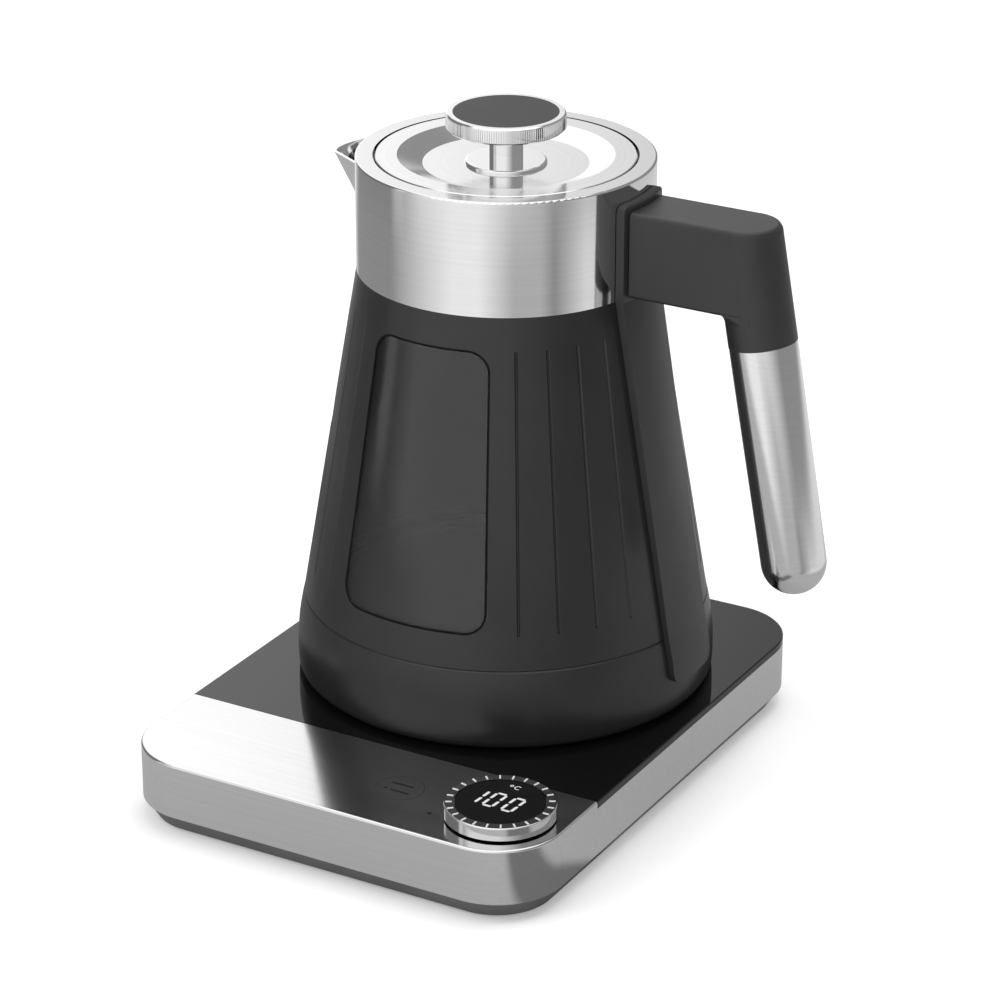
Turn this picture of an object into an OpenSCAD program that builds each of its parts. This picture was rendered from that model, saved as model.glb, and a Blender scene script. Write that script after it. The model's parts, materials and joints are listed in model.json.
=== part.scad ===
// Electric kettle with a V spout, a side handle and a glass-topped power base.
// Z is up and zero is the table. The kettle's axis is the Z axis.
// The handle points to +X, the spout to -X and the control strip faces -Y.
// Heights in the kettle's own sections are measured from the base's glass top.

/* [Power base] */
// Width of the base from left to right
base_width = 173; // [166:1:210]
// Depth of the square glass platform
glass_depth = 172; // [166:1:210]
// Depth of the steel control strip in front of the glass
strip_depth = 52.5; // [46:0.5:70]
// Height of the glass top above the table
base_height = 29; // [27:0.5:40]
// Plan radius of the base's corners
base_corner = 26; // [20:0.5:32]
// Thickness of the glass platform
glass_thick = 2.8; // [2:0.1:4]
// Bevel along the glass's top edge
glass_bevel = 0.4; // [0.2:0.1:0.8]
// Gap between the glass and the control strip
glass_gap = 0.3; // [0.2:0.1:0.6]
// Sheet thickness of the steel shell
shell_wall = 1.2; // [0.8:0.1:1.8]
// Rounding of the shell's top edge
shell_round = 1; // [0.4:0.1:1.1]
// Height of the steel side below the strip's top
side_height = 21.4; // [19:0.2:23]
// Width of the flange that carries the glass
glass_flange = 9; // [6:0.5:12]
// How far the bottom pan stands in at its top edge
pan_step = 0.8; // [0.4:0.1:1]
// How far the bottom pan stands in at its underside
pan_inset = 4.8; // [3:0.2:6]
// Wall and floor thickness of the bottom pan
pan_wall = 2; // [1.6:0.1:2.4]
// Radius of a rubber foot
foot_r = 8; // [6:0.5:10]
// How far a foot stands proud of the pan
foot_proud = 0.8; // [0.5:0.1:1.5]
// Bore radius of the cord bush at the back
cord_bore_r = 3.5; // [3:0.1:4]

/* [Controls] */
// Outer radius of the dial's ring
dial_r = 20.2; // [18:0.1:21]
// Inner radius of the dial's ring, around the display
dial_bore_r = 16.5; // [14:0.1:17]
// Height of the dial's ring
dial_ring_h = 4.9; // [4:0.1:7]
// Gap between the strip and the dial, which sets its press travel
dial_lift = 0.8; // [0.8:0.1:1.4]
// Number of marks on the dial's ring
dial_marks = 24; // [12:6:36]
// Length of one mark
mark_length = 2.3; // [1.6:0.1:2.6]
// Width of one mark
mark_width = 0.6; // [0.4:0.1:1]
// Place of the touch pad from the kettle's axis, to the right
touch_x = 20; // [-40:1:25]
// Radius of the touch pad
touch_r = 8; // [5:0.5:9]
// Radius of the indicator's light pipe
led_r = 0.8; // [0.6:0.1:1.2]

/* [Kettle body] */
// Widest radius of the kettle, on its base ring
belly_r = 79.4; // [78.4:0.1:82]
// Height of the widest place
belly_z = 9; // [7:0.5:12]
// Rounding at the foot of the base ring
foot_round = 4; // [3:0.2:5]
// Height of the seam between the base ring and the jacket
seam_z = 31; // [30:0.5:36]
// Jacket's outer radius at the seam
jacket_r = 76.6; // [75:0.1:78]
// Wall of the jacket
jacket_wall = 1.2; // [0.8:0.1:1.6]
// Outer radius of the steel collar and of the jacket's top
collar_r = 55; // [52:0.5:58]
// Height of the collar's lower edge
collar_z = 160.2; // [150:0.2:190]
// Height of the steel collar
collar_h = 43; // [40:0.5:60]
// Wall of the collar
collar_wall = 1.5; // [1.2:0.1:2]
// Rounding of the collar's top edge
collar_round = 0.7; // [0.4:0.1:1.2]
// Wall of the glass jug
jug_wall = 3; // [2:0.2:4]
// Gap between the jug and the jacket
jug_gap = 0.4; // [0.3:0.1:0.8]
// Gap round the window's smoked pane
pane_gap = 0.15; // [0.1:0.05:0.3]
// Angle from the middle of the window to its side
window_half = 24; // [16:1:28]
// Height of the window's lower edge
window_z0 = 44.3; // [40:0.2:70]
// Drop of the window's upper edge below the collar
window_drop = 12.2; // [10:0.2:40]
// Corner radius of the window
window_round = 8; // [4:0.5:12]
// Depth of the jacket's upright grooves
groove_depth = 0.5; // [0.2:0.1:0.5]
// Width of an upright groove
groove_width = 1.3; // [1.2:0.1:1.6]
// Angle between two upright grooves
groove_pitch = 11.5; // [8:0.1:13]
// Number of grooves on each side of the window
groove_count = 4; // [1:1:4]

/* [Spout] */
// Height above the collar's lower edge where the spout's ridge leaves it
ridge_rise = 7; // [4:0.5:12]
// Lean of the spout's ridge from the upright
ridge_lean = 31.8; // [24:0.1:34]
// Drop of the spout's lip below the collar's top, where it leaves the collar
lip_drop = 2.9; // [2:0.1:7]
// Slope of the lip, down towards the tip
lip_slope = 13.5; // [0:0.1:20]
// Half angle of the spout's V
spout_half = 44.6; // [38:0.1:46]
// Rounding of the V's tip
spout_round = 12; // [6:0.5:13]
// Sheet thickness of the spout
spout_wall = 1; // [0.8:0.1:1.4]
// Hole radius in the strainer
strainer_hole_r = 1.2; // [0.8:0.1:1.4]

/* [Lid] */
// Radius of the lid's opening in the collar's top
mouth_r = 48.5; // [46:0.1:49]
// Radial gap around the lid
lid_gap = 0.8; // [0.3:0.1:0.9]
// Inner radius of the lid's flat rim
lid_rim_r = 39.7; // [36:0.1:42]
// Radius of the sunken middle of the lid
lid_dish_r = 30.4; // [24:0.1:34]
// Depth of the sunken middle
lid_dish = 3.2; // [2:0.1:4]
// Sheet thickness of the lid
lid_sheet = 0.8; // [0.6:0.1:1.2]
// Height of the plastic body under the lid
lid_body_h = 9; // [7:0.5:12]
// Radius of the knob's head
knob_r = 21.8; // [18:0.1:24]
// Height of the knob's head
knob_h = 6; // [5:0.1:9]
// Gap between the lid's middle and the knob's head
knob_gap = 13.2; // [10:0.1:20]
// Radius of the knob's stem
stem_r = 6.35; // [5:0.05:8]
// Radius of the low boss around the stem
boss_r = 15; // [12:0.1:17]
// Radius of the black inlay in the knob
inlay_r = 19.4; // [15:0.1:20]

/* [Handle] */
// Width of the handle's arm
arm_width = 25; // [20:0.5:26]
// Rise of the arm's underside above the collar's lower edge
arm_rise = 1.4; // [1.2:0.2:5]
// Height of the arm from its underside to its top
arm_height = 32.2; // [28:0.2:34]
// Rounding along the arm's edges
arm_round = 1.6; // [0.6:0.1:2]
// Reach of the grip's axis at the black elbow's lower end
grip_x = 105.3; // [98:0.1:125]
// Drop of the black elbow's lower end below the arm
elbow_drop = 11.6; // [9:0.2:20]
// Lean of the grip away from the kettle as it goes down
grip_lean = 10.2; // [4:0.1:14]
// Radius of the grip at its top
grip_r0 = 12.5; // [11:0.1:14]
// Radius of the grip at its lower end
grip_r1 = 12; // [10.5:0.1:13]
// Length of the grip's steel sleeve without its rounded cap
grip_length = 83.7; // [60:0.1:90]
// Radius of the fillet between the arm and the grip
elbow_fillet = 6; // [3:0.5:8]
// Half width of the spine behind the handle
spine_half = 14.5; // [13:0.5:17]
// Rise of the spine's top edge above the arm
spine_over = 2.8; // [1.8:0.2:4]
// Height of the spine's lower end
spine_z0 = 13.5; // [10:0.5:20]
// How far the spine stands proud of the collar
spine_proud = 3.3; // [1.5:0.1:3.5]
// How far the spine stands proud of the base ring
spine_low_proud = 2.4; // [0.8:0.1:3]

/* [Coupling and heater] */
// Radius of the connector post on the base
post_r = 16.5; // [14:0.1:17]
// Height of the connector post above the glass
post_h = 8; // [6:0.5:9]
// Radius of the socket body in the kettle
socket_r = 22; // [21:0.1:24]
// Radius of the raised edge of the kettle's steel floor
floor_rim_r = 69; // [64:0.5:70]
// Mean radius of the heating element
element_r = 44; // [34:1:50]
// Radius of the heat-spreading plate
spreader_r = 58; // [54:1:62]

/* [Hidden] */
$fn = 96;

// A little more than a face, so that a cut passes right through it
slip = 1;

// Base, in heights above the table
y_back = glass_depth / 2;
y_joint = -glass_depth / 2;
y_front = y_joint - strip_depth;
side_z = base_height - side_height;
glass_seat = base_height - glass_thick;
flange_z = glass_seat - shell_wall;
strip_under = base_height - shell_wall;
pan_floor = foot_proud + pan_wall;
pan_lip_inset = shell_wall + 0.3;
pan_lip_z = side_z + 4;
foot_recess = 1.2;
foot_x = base_width / 2 - base_corner + 4;
foot_front = y_front + base_corner - 4;
foot_back = y_back - base_corner + 4;
screw_x = foot_x - foot_r - 8;
screw_r = 1.5;
screw_head_r = 3;
screw_head_h = 1.1;
chassis_z = pan_floor + 5.2;
chassis_wall = 2;
chassis_top = chassis_z + chassis_wall;
chassis_inset = pan_lip_inset + pan_wall + 1;
post_seat = glass_seat - 4.2;
post_flange_r = post_r + 7.5;
board_wall = 1.6;
power_board_z = chassis_top + 2;
power_board_w = 32;
power_board_d = 100;
power_board_x = -base_width / 2 + 24;
control_board_z = glass_seat - 6.2;
control_top = control_board_z + board_wall;
control_board_d = 34;
cord_z = (flange_z + pan_lip_z) / 2;
cord_wall = 2;
cord_flange = 1.5;
cord_inner = 10;

// Controls
dial_x = base_width / 2 - base_corner + 1;
dial_y = y_front + base_corner + 0.5;
dial_z0 = base_height + dial_lift;
dial_z1 = dial_z0 + dial_ring_h;
dial_ledge = 0.5;
dial_play = 0.3;
display_h = 1;
display_sunk = 0.1;
core_z0 = dial_z0 + dial_ledge + dial_play;
core_z1 = dial_z1 - display_sunk - display_h;
core_r = dial_bore_r - dial_play;
shaft_r = 3;
shaft_play = 0.1;
encoder_size = 13;
encoder_h = 5;
bush_r = 5;
strip_hole_r = bush_r + 1;
shaft_z0 = control_top + 1.6;
mark_r = (dial_bore_r + dial_r) / 2 - mark_length / 2;
mark_h = 0.15;
touch_y = dial_y;
led_x = touch_x + 18.7;
led_y = touch_y - 11;

// Kettle, in heights above the glass
collar_top = collar_z + collar_h;
window_z1 = collar_z - window_drop;
lip_z = collar_top - lip_drop;
arm_z0 = collar_z + arm_rise;
arm_z1 = arm_z0 + arm_height;
grip_z = arm_z0 - elbow_drop;
spine_top = arm_z1 + spine_over;
belly_arc = (pow(seam_z - belly_z, 2) + pow(belly_r - jacket_r, 2)) / (2 * (belly_r - jacket_r));
jacket_slope = atan((jacket_r - collar_r) / (collar_z - seam_z));
jacket_skin = jacket_wall / cos(jacket_slope);
jug_skin = jug_wall / cos(jacket_slope);
ring_bore = belly_r - 7.4;
cover_z0 = 2;
cover_wall = 2;
cover_ledge = cover_z0 + cover_wall;
cover_r = ring_bore - 0.3;
floor_seat = seam_z - 2.5;
floor_wall = 1.5;
floor_z = floor_seat + floor_wall;
floor_r = jacket_r - 2.5;
seal_h = 3;
seal_play = 0.3;
jug_z0 = floor_z + seal_h;
jug_z1 = collar_z - seal_h;
collar_floor = collar_z + 1.2;
collar_in = collar_r - collar_wall;
seat_tube = 1.5;
seat_z = collar_top - 8.7;
seat_ledge = 3.5;
socket_top = cover_z0 + 14;
socket_roof = post_h + 2.5;
spreader_h = 3;
spreader_z = floor_seat - spreader_h;
element_w = 8;
thermostat_r = 16;
seam_groove = 0.4;
window_w0 = 2 * jacket_at(window_z0) * sin(window_half);
window_w1 = 2 * jacket_at(window_z1) * sin(window_half);
groove_first = window_half + 9.2;
pane_sunk = 0.1;

// Spout
ridge_x = -collar_r;
ridge_z = collar_z + ridge_rise;
spout_reach = 44;
spout_length = 60;
spout_below = 10;
lip_x = -collar_r * cos(32.5);
spout_slot_r = mouth_r + seat_tube + 0.5;
strainer_r = spout_slot_r + 0.2;
strainer_wall = 0.8;
strainer_half = 36;
strainer_pitch = 5;
strainer_z1 = seat_z - 0.3;

// Lid
lid_r = mouth_r - lid_gap;
dish_z = collar_top - lid_dish;
dish_under = dish_z - lid_sheet;
lid_skirt_z = seat_z + 3;
lid_body_r = mouth_r - seat_ledge - 0.5;
lid_body_z0 = dish_under - lid_body_h;
boss_h = 1.2;
knob_z0 = dish_z + knob_gap;
knob_z1 = knob_z0 + knob_h;
knob_bevel = 0.5;
inlay_h = 1.5;
liner_wall = 1;
knob_screw_r = 2;

// Handle
arm_x0 = collar_r + spine_proud - 0.8;
grip_top_x = grip_x - (arm_z1 - grip_z) * tan(grip_lean);
elbow_proud = 0.05;
elbow_r = arm_width / 2 + elbow_proud;
sleeve_wall = 1.5;
core_grip_r = grip_r1 - sleeve_wall - 0.2;
spigot_length = 20;
rod_r = 3;
rod_play = 0.15;
rod_up = 25;
nut_r = 6;
nut_h = 3;
spine_corner = 3;
spine_foot = 4.5;
spine_edge = 1.2;
handle_screw_r = 2;
handle_screw_z = [arm_z0 + 7, arm_z1 - 9];
spine_gap = 0.2;

// Radius of the jacket's outer face at a height
function jacket_at(z) = jacket_r - (z - seam_z) * (jacket_r - collar_r) / (collar_z - seam_z);
// Radius of the base ring's outer face at a height
function belly_at(z) = belly_r - belly_arc + sqrt(pow(belly_arc, 2) - pow(z - belly_z, 2));

// ---------- shared shapes ----------

// Upright tube or disc between two heights
module ring(r_out, r_in, z0, z1) {
    difference() {
        translate([0, 0, z0]) cylinder(r = r_out, h = z1 - z0);
        if (r_in > 0) translate([0, 0, z0 - slip]) cylinder(r = r_in, h = z1 - z0 + 2 * slip);
    }
}

// Rounded rectangle, centred left to right, between a front and a back edge
module plan(w, y0, y1, r) {
    translate([-w / 2 + r, y0]) square([w - 2 * r, y1 - y0]);
    translate([-w / 2, y0 + r]) square([w, y1 - y0 - 2 * r]);
    for (side = [-1, 1], y = [y0 + r, y1 - r]) translate([side * (w / 2 - r), y]) circle(r);
}

// Rounded rectangle of the base's outline, drawn in by an inset
module base_plan(inset) {
    plan(base_width - 2 * inset, y_front + inset, y_back - inset, base_corner - inset);
}

// Block with round corners in plan, whose outer edge follows a section.
// The section's x runs outward from the corner's centre to the block's face.
module edged_block(w, y0, y1, r, z0, z1) {
    half = w / 2 - r;
    depth = y1 - y0 - 2 * r;
    translate([-half, y0 + r, z0]) cube([2 * half, depth, z1 - z0]);
    translate([half, y0 + r, 0]) rotate([90, 0, -90]) linear_extrude(2 * half) children();
    translate([-half, y1 - r, 0]) rotate([90, 0, 90]) linear_extrude(2 * half) children();
    translate([half, y1 - r, 0]) rotate([90, 0, 0]) linear_extrude(depth) children();
    translate([-half, y0 + r, 0]) rotate([90, 0, 180]) linear_extrude(depth) children();
    for (turn = [0:3]) {
        place = [[half, y1 - r], [-half, y1 - r], [-half, y0 + r], [half, y0 + r]][turn];
        translate([place[0], place[1], 0]) rotate(90 * turn) rotate_extrude(angle = 90) children();
    }
}

// Section of a block with a rounded top edge
module round_edge(r, z0, z1, round_r) {
    difference() {
        translate([0, z0]) square([r, z1 - z0]);
        translate([r - round_r, z1 - round_r]) difference() {
            square(round_r + slip);
            circle(round_r);
        }
    }
}

// Keeps only what lies in front of, or behind, a plane across Y
module half_y(y, front) {
    intersection() {
        children();
        translate([-base_width, front ? y - 2 * base_width : y, -slip])
            cube([2 * base_width, 2 * base_width, 3 * base_height]);
    }
}

// Lifts the kettle's own heights onto the glass
module on_glass() {
    translate([0, 0, base_height]) children();
}

// Moves to the dial's axis
module at_dial() {
    translate([dial_x, dial_y, 0]) children();
}

// The places of the feet, one at each corner and one under the connector
module at_feet() {
    for (x = [-foot_x, foot_x], y = [foot_front, foot_back]) translate([x, y, 0]) children();
    children();
}

// The four places of the pan's screws
module at_pan_screws() {
    for (x = [-screw_x, screw_x], y = [foot_front, foot_back]) translate([x, y, 0]) children();
}

// ---------- power base ----------

module base_shell() {
    color("silver") difference() {
        edged_block(base_width, y_front, y_back, base_corner, side_z, base_height)
            round_edge(base_corner, side_z, base_height, shell_round);
        // seat of the glass
        translate([-base_width, y_joint, glass_seat]) cube([2 * base_width, 2 * glass_depth, 2 * glass_thick]);
        // inside, under the flange
        translate([0, 0, side_z - slip]) linear_extrude(flange_z - side_z + slip) base_plan(shell_wall);
        // inside, under the strip
        half_y(y_joint - shell_wall, true)
            translate([0, 0, flange_z - slip]) linear_extrude(strip_under - flange_z + slip) base_plan(shell_wall);
        // opening inside the flange
        half_y(y_joint + glass_flange, false)
            translate([0, 0, flange_z - slip]) linear_extrude(2 * glass_thick) base_plan(glass_flange);
        // dial, indicator and cord holes
        at_dial() translate([0, 0, flange_z]) cylinder(r = strip_hole_r, h = 3 * glass_thick);
        translate([led_x, led_y, flange_z]) cylinder(r = led_r + 0.1, h = 3 * glass_thick);
        translate([0, y_back - 2 * shell_wall, cord_z]) rotate([-90, 0, 0])
            cylinder(r = cord_bore_r + cord_wall + 0.1, h = 3 * shell_wall);
    }
}

module glass_plate() {
    color("black") difference() {
        half_y(y_joint + glass_gap, false)
            edged_block(base_width, y_joint - 2 * base_corner, y_back, base_corner, glass_seat, base_height)
                polygon([[0, glass_seat], [base_corner, glass_seat], [base_corner, base_height - glass_bevel],
                    [base_corner - glass_bevel, base_height], [0, base_height]]);
        translate([0, 0, glass_seat - slip]) cylinder(r = post_r + 0.1, h = glass_thick + 2 * slip);
    }
}

module bottom_pan() {
    floor_cavity = pan_inset + pan_wall;
    color("dimgray") difference() {
        union() {
            edged_block(base_width, y_front, y_back, base_corner, foot_proud, side_z)
                polygon([[0, foot_proud], [base_corner - pan_inset, foot_proud],
                    [base_corner - pan_step, side_z], [0, side_z]]);
            translate([0, 0, side_z - slip]) linear_extrude(pan_lip_z - side_z + slip) base_plan(pan_lip_inset);
        }
        translate([0, 0, pan_floor]) linear_extrude(base_height) base_plan(floor_cavity);
        at_feet() translate([0, 0, foot_proud - slip]) cylinder(r = foot_r, h = foot_recess + slip);
        at_pan_screws() {
            cylinder(r = screw_r + 0.2, h = pan_floor + slip);
            cylinder(r = screw_head_r + 0.2, h = foot_proud + screw_head_h + 0.1);
        }
    }
}

module rubber_feet() {
    color("black") at_feet() cylinder(r = foot_r, h = foot_proud + foot_recess);
}

module pan_screws() {
    color("gray") at_pan_screws() {
        translate([0, 0, foot_proud + 0.1]) cylinder(r = screw_head_r, h = screw_head_h);
        translate([0, 0, foot_proud + 0.1]) cylinder(r = screw_r, h = chassis_z - foot_proud);
    }
}

module chassis() {
    color("gray") difference() {
        union() {
            translate([0, 0, chassis_z]) linear_extrude(chassis_wall) base_plan(chassis_inset + pan_inset);
            at_pan_screws() translate([0, 0, pan_floor]) cylinder(r = 4.5, h = chassis_top - pan_floor);
            ring(post_flange_r, post_flange_r - 3, chassis_top - 0.5, post_seat);
            for (x = [-1, 1], y = [-1, 1]) {
                translate([power_board_x + x * (power_board_w / 2 - 4), y * (power_board_d / 2 - 4), chassis_z])
                    cylinder(r = 2.5, h = power_board_z - chassis_z);
            }
            for (x = [touch_x - 20, dial_x], y = [-1, 1]) {
                translate([x, dial_y + y * (control_board_d / 2 - 4), chassis_z])
                    cylinder(r = 2.5, h = control_board_z - chassis_z);
            }
        }
        at_pan_screws() translate([0, 0, pan_floor - slip])
            cylinder(r = screw_r + 0.05, h = chassis_top - pan_floor + 2 * slip);
        translate([0, 0, chassis_z - slip]) cylinder(r = post_flange_r - 3, h = chassis_wall + 2 * slip);
    }
}

module cord_bush() {
    inner = cord_bore_r + cord_wall;
    color("black") translate([0, y_back, cord_z]) rotate([-90, 0, 0]) difference() {
        union() {
            translate([0, 0, -cord_inner]) cylinder(r = inner, h = cord_inner + cord_flange);
            cylinder(r = inner + 1.5, h = cord_flange);
            translate([0, 0, -cord_inner]) cylinder(r = inner + 0.8, h = cord_inner - shell_wall - 0.1);
        }
        translate([0, 0, -cord_inner - slip])
            cylinder(r = cord_bore_r, h = cord_inner + cord_flange + 2 * slip);
    }
}

module power_board() {
    color("darkgreen") translate([power_board_x, 0, power_board_z]) {
        translate([-power_board_w / 2, -power_board_d / 2, 0]) cube([power_board_w, power_board_d, board_wall]);
        translate([-10, -38, board_wall]) cube([20, 18, 6.5]);
        translate([-12, -6, board_wall]) cube([22, 14, 5]);
        translate([2, 28, board_wall]) cylinder(r = 5.5, h = 6.5);
        translate([-9, 18, board_wall]) cylinder(r = 3, h = 6);
        translate([-12, 38, board_wall]) cube([24, 7, 5.5]);
    }
}

module control_board() {
    x0 = touch_x - 26;
    color("darkgreen") {
        translate([x0, dial_y - control_board_d / 2, control_board_z])
            cube([dial_x + 14 - x0, control_board_d, board_wall]);
        translate([touch_x + 14, dial_y - 4, control_top]) cube([9, 9, 1.2]);
        translate([touch_x - 22, dial_y + 2, control_top]) cube([7, 12, 3]);
    }
}

module touch_sensor() {
    color("gray") translate([touch_x, touch_y, 0]) {
        translate([0, 0, control_top]) cylinder(r = touch_r / 2, h = strip_under - control_top - 0.5);
        translate([0, 0, strip_under - 0.8]) cylinder(r = touch_r, h = 0.8);
    }
}

module indicator_led() {
    color("white") translate([led_x, led_y, 0]) {
        translate([0, 0, control_top]) cylinder(r = led_r, h = base_height - control_top);
        translate([0, 0, control_top]) cylinder(r = 2, h = 2);
    }
}

module coupler_post() {
    trench_z = base_height - 2;
    color("black") difference() {
        union() {
            ring(post_flange_r, 0, post_seat, glass_seat);
            ring(post_r, 0, post_seat, base_height + post_h);
        }
        ring(12, 8, trench_z, base_height + post_h + slip);
        ring(3.2, 0, trench_z, base_height + post_h + slip);
    }
}

module coupler_contacts() {
    trench_z = base_height - 2;
    color("gold") {
        ring(12, 11.5, trench_z, base_height + post_h - 1.5);
        ring(8.5, 8, trench_z, base_height + post_h - 3);
        ring(1.2, 0, trench_z, trench_z + 3);
    }
}

// ---------- controls ----------

module dial_encoder() {
    color("dimgray") at_dial() difference() {
        union() {
            translate([-encoder_size / 2, -encoder_size / 2, control_top])
                cube([encoder_size, encoder_size, encoder_h]);
            ring(bush_r, 0, control_top, base_height - 0.4);
        }
        ring(shaft_r + shaft_play, 0, control_top + 0.8, base_height + slip);
    }
}

module dial_core() {
    color("black") at_dial() {
        ring(shaft_r, 0, shaft_z0, core_z0 + slip);
        ring(core_r, 0, core_z0, core_z1);
    }
}

module dial_display() {
    color("black") at_dial() ring(core_r, 0, core_z1, core_z1 + display_h);
}

module dial_ring() {
    color("silver") at_dial() difference() {
        rotate_extrude() round_edge(dial_r, dial_z0, dial_z1, 0.5);
        ring(dial_bore_r, 0, dial_z0 + dial_ledge, dial_z1 + slip);
        ring(dial_bore_r - 3, 0, dial_z0 - slip, dial_z1);
    }
}

module dial_ticks() {
    color("white") at_dial() for (i = [0:dial_marks - 1]) {
        rotate(i * 360 / dial_marks) translate([mark_r, -mark_width / 2, dial_z1])
            cube([mark_length, mark_width, mark_h]);
    }
}

// ---------- coupling and kettle foot ----------

module coupler_socket() {
    color("black") on_glass() difference() {
        ring(socket_r, 0, cover_z0, socket_top);
        ring(post_r + 0.5, 0, cover_z0 - slip, socket_roof);
    }
    color("black") on_glass() ring(10.6, 9.6, 1.5, socket_roof + slip);
}

module socket_contacts() {
    color("gold") on_glass() {
        ring(11.1, 10.7, 3.5, socket_roof);
        ring(9.5, 9.1, 3.5, socket_roof);
        ring(2.2, 0, 2, socket_roof);
    }
}

module base_ring() {
    color("dimgray") on_glass() difference() {
        rotate_extrude() difference() {
            intersection() {
                translate([belly_r - belly_arc, belly_z]) circle(belly_arc, $fn = 360);
                translate([ring_bore - 4, 0]) square([belly_r, seam_z]);
            }
            translate([belly_at(foot_round) - foot_round, foot_round]) difference() {
                translate([0, -foot_round - slip]) square([foot_round + 3 * slip, foot_round + slip]);
                circle(foot_round);
            }
        }
        // under the cover, up to the ledge of the cover
        ring(ring_bore, 0, -slip, cover_ledge);
        // through the ledges
        ring(ring_bore - 2.5, 0, -slip, seam_z + slip);
        // between the two ledges
        ring(ring_bore, 0, cover_ledge + 6, floor_seat - 2.5);
        // seat of the steel floor
        ring(floor_r + 0.3, 0, floor_seat, seam_z + slip);
        at_cover_screws() cylinder(r = screw_r + 0.05, h = cover_ledge + 5);
        // groove of the seam
        rotate_extrude() polygon([[jacket_r + slip, seam_z + slip], [jacket_r - seam_groove, seam_z + slip],
            [jacket_r - seam_groove, seam_z], [jacket_r + slip, seam_z - seam_groove - slip]]);
    }
}

// The three places of the bottom cover's screws
module at_cover_screws() {
    for (turn = [30, 150, 270]) rotate(turn) translate([ring_bore - 4.6, 0, cover_z0]) children();
}

module bottom_cover() {
    color("black") on_glass() difference() {
        ring(cover_r, socket_r + 0.3, cover_z0, cover_ledge);
        at_cover_screws() translate([0, 0, -slip]) cylinder(r = screw_r + 0.2, h = cover_wall + 2 * slip);
    }
}

module cover_screws() {
    color("gray") on_glass() at_cover_screws() {
        translate([0, 0, -screw_head_h]) cylinder(r = screw_head_r, h = screw_head_h);
        translate([0, 0, -screw_head_h]) cylinder(r = screw_r, h = screw_head_h + cover_wall + 4);
    }
}

module thermostat() {
    color("ivory") on_glass() {
        ring(thermostat_r, 0, socket_top + 0.6, socket_top + 5);
        ring(thermostat_r - 5, 0, socket_top + 4, spreader_z);
    }
}

module heating_element() {
    z_mid = spreader_z - element_w / 2;
    color("gray") on_glass() {
        rotate_extrude() {
            translate([element_r, z_mid]) circle(element_w / 2);
            translate([element_r - element_w / 2, z_mid]) square([element_w, element_w / 2]);
        }
    }
}

module heat_spreader() {
    color("lightgray") on_glass() ring(spreader_r, 0, spreader_z, floor_seat);
}

module floor_plate() {
    color("silver") on_glass() {
        ring(floor_r, 0, floor_seat, floor_z);
        rotate_extrude() {
            translate([floor_rim_r - 1.2, floor_z - 0.5]) square([1.2, 1]);
            translate([floor_rim_r - 0.6, floor_z + 0.5]) circle(0.6);
        }
    }
}

module jug_seal_lower() {
    color("dimgray") on_glass() ring(floor_r, floor_rim_r + seal_play, floor_z, jug_z0);
}

module glass_jug() {
    skin = jacket_skin + jug_gap;
    color("lightblue") on_glass() rotate_extrude() polygon([
        [jacket_at(jug_z0) - skin - jug_skin, jug_z0], [jacket_at(jug_z0) - skin, jug_z0],
        [jacket_at(jug_z1) - skin, jug_z1], [jacket_at(jug_z1) - skin - jug_skin, jug_z1]]);
}

module jug_seal_upper() {
    r_out = jacket_at(jug_z1) - jacket_skin - jug_gap;
    color("dimgray") on_glass() ring(r_out - seal_play, r_out - jug_skin, jug_z1, collar_z);
}

// ---------- jacket and collar ----------

// Window outline seen from the front, wider below than above, drawn in by an inset
module window_plan(inset) {
    low = window_w0 / 2 - window_round;
    high = window_w1 / 2 - window_round;
    hull() {
        for (side = [-1, 1]) {
            translate([side * low, window_z0 + window_round]) circle(window_round - inset, $fn = 32);
            translate([side * high, window_z1 - window_round]) circle(window_round - inset, $fn = 32);
        }
    }
}

// Smoked pane that fills the window, flush with the jacket
module window_pane() {
    color("#2c2c2e") on_glass() intersection() {
        rotate_extrude() polygon([
            [jacket_r - jacket_skin, seam_z], [jacket_r - pane_sunk, seam_z],
            [collar_r - pane_sunk, collar_z], [collar_r - jacket_skin, collar_z]]);
        rotate([90, 0, 0]) linear_extrude(2 * jacket_r) window_plan(pane_gap);
    }
}

// One upright groove on the jacket, at an angle from the +X side, with sloping walls
module groove(angle) {
    length = (window_z1 - window_z0) / cos(jacket_slope);
    bottom = groove_width / 2 - groove_depth;
    top = groove_width / 2 + groove_depth;
    rotate(angle) translate([jacket_at(window_z0), 0, window_z0]) rotate([0, -jacket_slope, 0])
        linear_extrude(length) polygon([[-groove_depth, -bottom], [groove_depth, -top],
            [groove_depth, top], [-groove_depth, bottom]]);
}

module jacket() {
    color("#3a3a3c") on_glass() difference() {
        rotate_extrude() polygon([
            [jacket_r - jacket_skin, seam_z], [jacket_r - seam_groove, seam_z],
            [jacket_at(seam_z + seam_groove), seam_z + seam_groove], [collar_r, collar_z],
            [collar_r - jacket_skin, collar_z]]);
        rotate([90, 0, 0]) linear_extrude(2 * jacket_r) window_plan(0);
        for (face = [-90, 90], side = [-1, 1], i = [0:groove_count - 1]) {
            groove(face + side * (groove_first + i * groove_pitch));
        }
    }
}

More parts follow.
